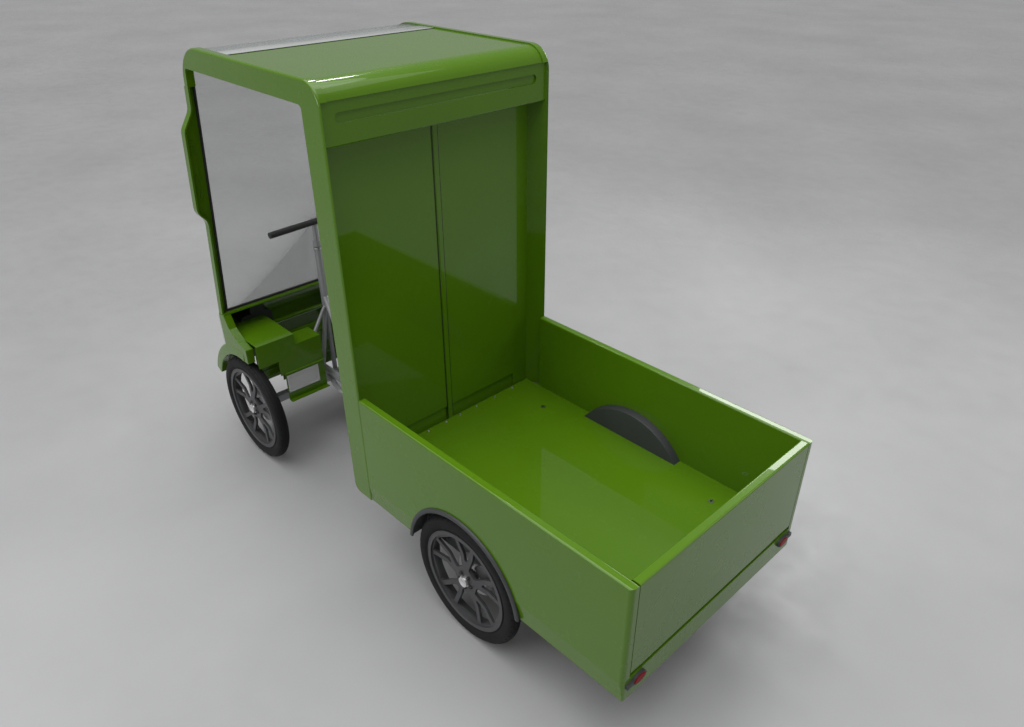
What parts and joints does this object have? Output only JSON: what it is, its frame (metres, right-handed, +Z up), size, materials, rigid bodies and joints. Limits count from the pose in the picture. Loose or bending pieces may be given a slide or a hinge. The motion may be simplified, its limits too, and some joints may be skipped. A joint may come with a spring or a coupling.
{
  "type": "electric cargo bike",
  "caption": "Pedal cargo bike with an open-sided roofed cab, wrap-over windscreen, handlebar-steered front wheels and an open load tray with a drop-down tailgate.",
  "frame": {"origin": "on the ground under the middle of the outline's box", "axes": "+X forward, +Y to the rider's left, +Z up"},
  "size_m": [2.74, 1.08, 1.9259],
  "materials": {
    "body_paint": "gloss green",
    "glazing": "clear",
    "tyre_rubber": "matte black",
    "rim_alloy": "dark grey satin",
    "hub_steel": "brushed",
    "frame_paint": "grey satin",
    "drive_alloy": "cast grey",
    "dark_plastic": "grained dark grey",
    "lamp_red": "red lens",
    "lamp_clear": "clear lens",
    "bar_black": "satin black",
    "grip_rubber": "matte black",
    "saddle_cover": "black grained"
  },
  "bodies": {
    "chassis": {"chassis_frame": "frame_paint", "front_axle": "frame_paint", "rear_axle": "drive_alloy", "battery_pack": "dark_plastic", "pedal_unit": "drive_alloy", "seat_post": "frame_paint", "saddle": "saddle_cover", "load_floor": "body_paint", "rear_skirt": "body_paint", "bulkhead_post": "body_paint", "roof_panel": "body_paint", "rear_header": "body_paint", "windscreen": "glazing", "nose_shell": "body_paint", "front_subframe": "frame_paint", "foot_tube": "frame_paint", "left_headlamp_lens": "lamp_clear", "right_headlamp_lens": "lamp_clear", "left_tail_lens": "lamp_red", "right_tail_lens": "lamp_red", "left_load_side": "body_paint", "right_load_side": "body_paint", "left_bulkhead_panel": "body_paint", "right_bulkhead_panel": "body_paint", "left_cab_frame": "body_paint", "right_cab_frame": "body_paint", "left_front_fender": "body_paint", "right_front_fender": "body_paint", "left_front_well": "body_paint", "right_front_well": "body_paint", "left_headlamp": "dark_plastic", "right_headlamp": "dark_plastic", "left_tail_lamp": "dark_plastic", "right_tail_lamp": "dark_plastic", "left_rear_arch": "dark_plastic", "right_rear_arch": "dark_plastic"},
    "steering": {"steering_column": "frame_paint", "handlebar": "bar_black", "left_grip": "grip_rubber", "right_grip": "grip_rubber"},
    "left_hub_carrier": {"left_knuckle": "frame_paint"},
    "right_hub_carrier": {"right_knuckle": "frame_paint"},
    "track_rod": {"tie_rod": "frame_paint"},
    "left_front_wheel": {"left_front_tyre": "tyre_rubber", "left_front_rim": "rim_alloy", "left_front_hub": "hub_steel"},
    "left_rear_wheel": {"left_rear_tyre": "tyre_rubber", "left_rear_rim": "rim_alloy", "left_rear_hub": "hub_steel"},
    "right_front_wheel": {"right_front_tyre": "tyre_rubber", "right_front_rim": "rim_alloy", "right_front_hub": "hub_steel"},
    "right_rear_wheel": {"right_rear_tyre": "tyre_rubber", "right_rear_rim": "rim_alloy", "right_rear_hub": "hub_steel"},
    "crank": {"crank_set": "drive_alloy"},
    "left_foot_pedal": {"left_pedal": "dark_plastic"},
    "right_foot_pedal": {"right_pedal": "dark_plastic"},
    "drop_tailgate": {"tailgate": "body_paint"}
  },
  "joints": [
    {"name": "steer", "type": "hinge", "parent": "chassis", "child": "steering", "pos_m": [1.004, 0, 0.8], "axis": [0, 0, 1], "range_deg": [-30, 30]},
    {"name": "left_kingpin", "type": "hinge", "parent": "chassis", "child": "left_hub_carrier", "pos_m": [0.967, 0.388, 0.267], "axis": [0, 0, 1], "range_deg": [-30, 30]},
    {"name": "right_kingpin", "type": "hinge", "parent": "chassis", "child": "right_hub_carrier", "pos_m": [0.967, -0.388, 0.267], "axis": [0, 0, 1], "range_deg": [-30, 30]},
    {"name": "track_rod_swing", "type": "hinge", "parent": "steering", "child": "track_rod", "pos_m": [1.114, 0, 0.213], "axis": [0, 0, 1], "range_deg": [-30, 30]},
    {"name": "left_front_roll", "type": "hinge", "parent": "left_hub_carrier", "child": "left_front_wheel", "pos_m": [0.967, 0.472, 0.267], "axis": [0, 1, 0], "continuous": true},
    {"name": "left_rear_roll", "type": "hinge", "parent": "chassis", "child": "left_rear_wheel", "pos_m": [-0.613, 0.472, 0.267], "axis": [0, 1, 0], "continuous": true},
    {"name": "right_front_roll", "type": "hinge", "parent": "right_hub_carrier", "child": "right_front_wheel", "pos_m": [0.967, -0.472, 0.267], "axis": [0, 1, 0], "continuous": true},
    {"name": "right_rear_roll", "type": "hinge", "parent": "chassis", "child": "right_rear_wheel", "pos_m": [-0.613, -0.472, 0.267], "axis": [0, 1, 0], "continuous": true},
    {"name": "crank_turn", "type": "hinge", "parent": "chassis", "child": "crank", "pos_m": [0.5, 0, 0.405], "axis": [0, 1, 0], "continuous": true},
    {"name": "left_pedal_turn", "type": "hinge", "parent": "crank", "child": "left_foot_pedal", "pos_m": [0.35, 0.168, 0.405], "axis": [0, 1, 0], "continuous": true},
    {"name": "right_pedal_turn", "type": "hinge", "parent": "crank", "child": "right_foot_pedal", "pos_m": [0.65, -0.168, 0.405], "axis": [0, 1, 0], "continuous": true},
    {"name": "tailgate_drop", "type": "hinge", "parent": "chassis", "child": "drop_tailgate", "pos_m": [-1.3415, 0, 0.4205], "axis": [0, -1, 0], "range_deg": [0, 90]}
  ],
  "couplings": [
    {"joint": "left_kingpin", "follows": "steer", "ratio": 1},
    {"joint": "right_kingpin", "follows": "steer", "ratio": 1},
    {"joint": "track_rod_swing", "follows": "steer", "ratio": -1}
  ]
}
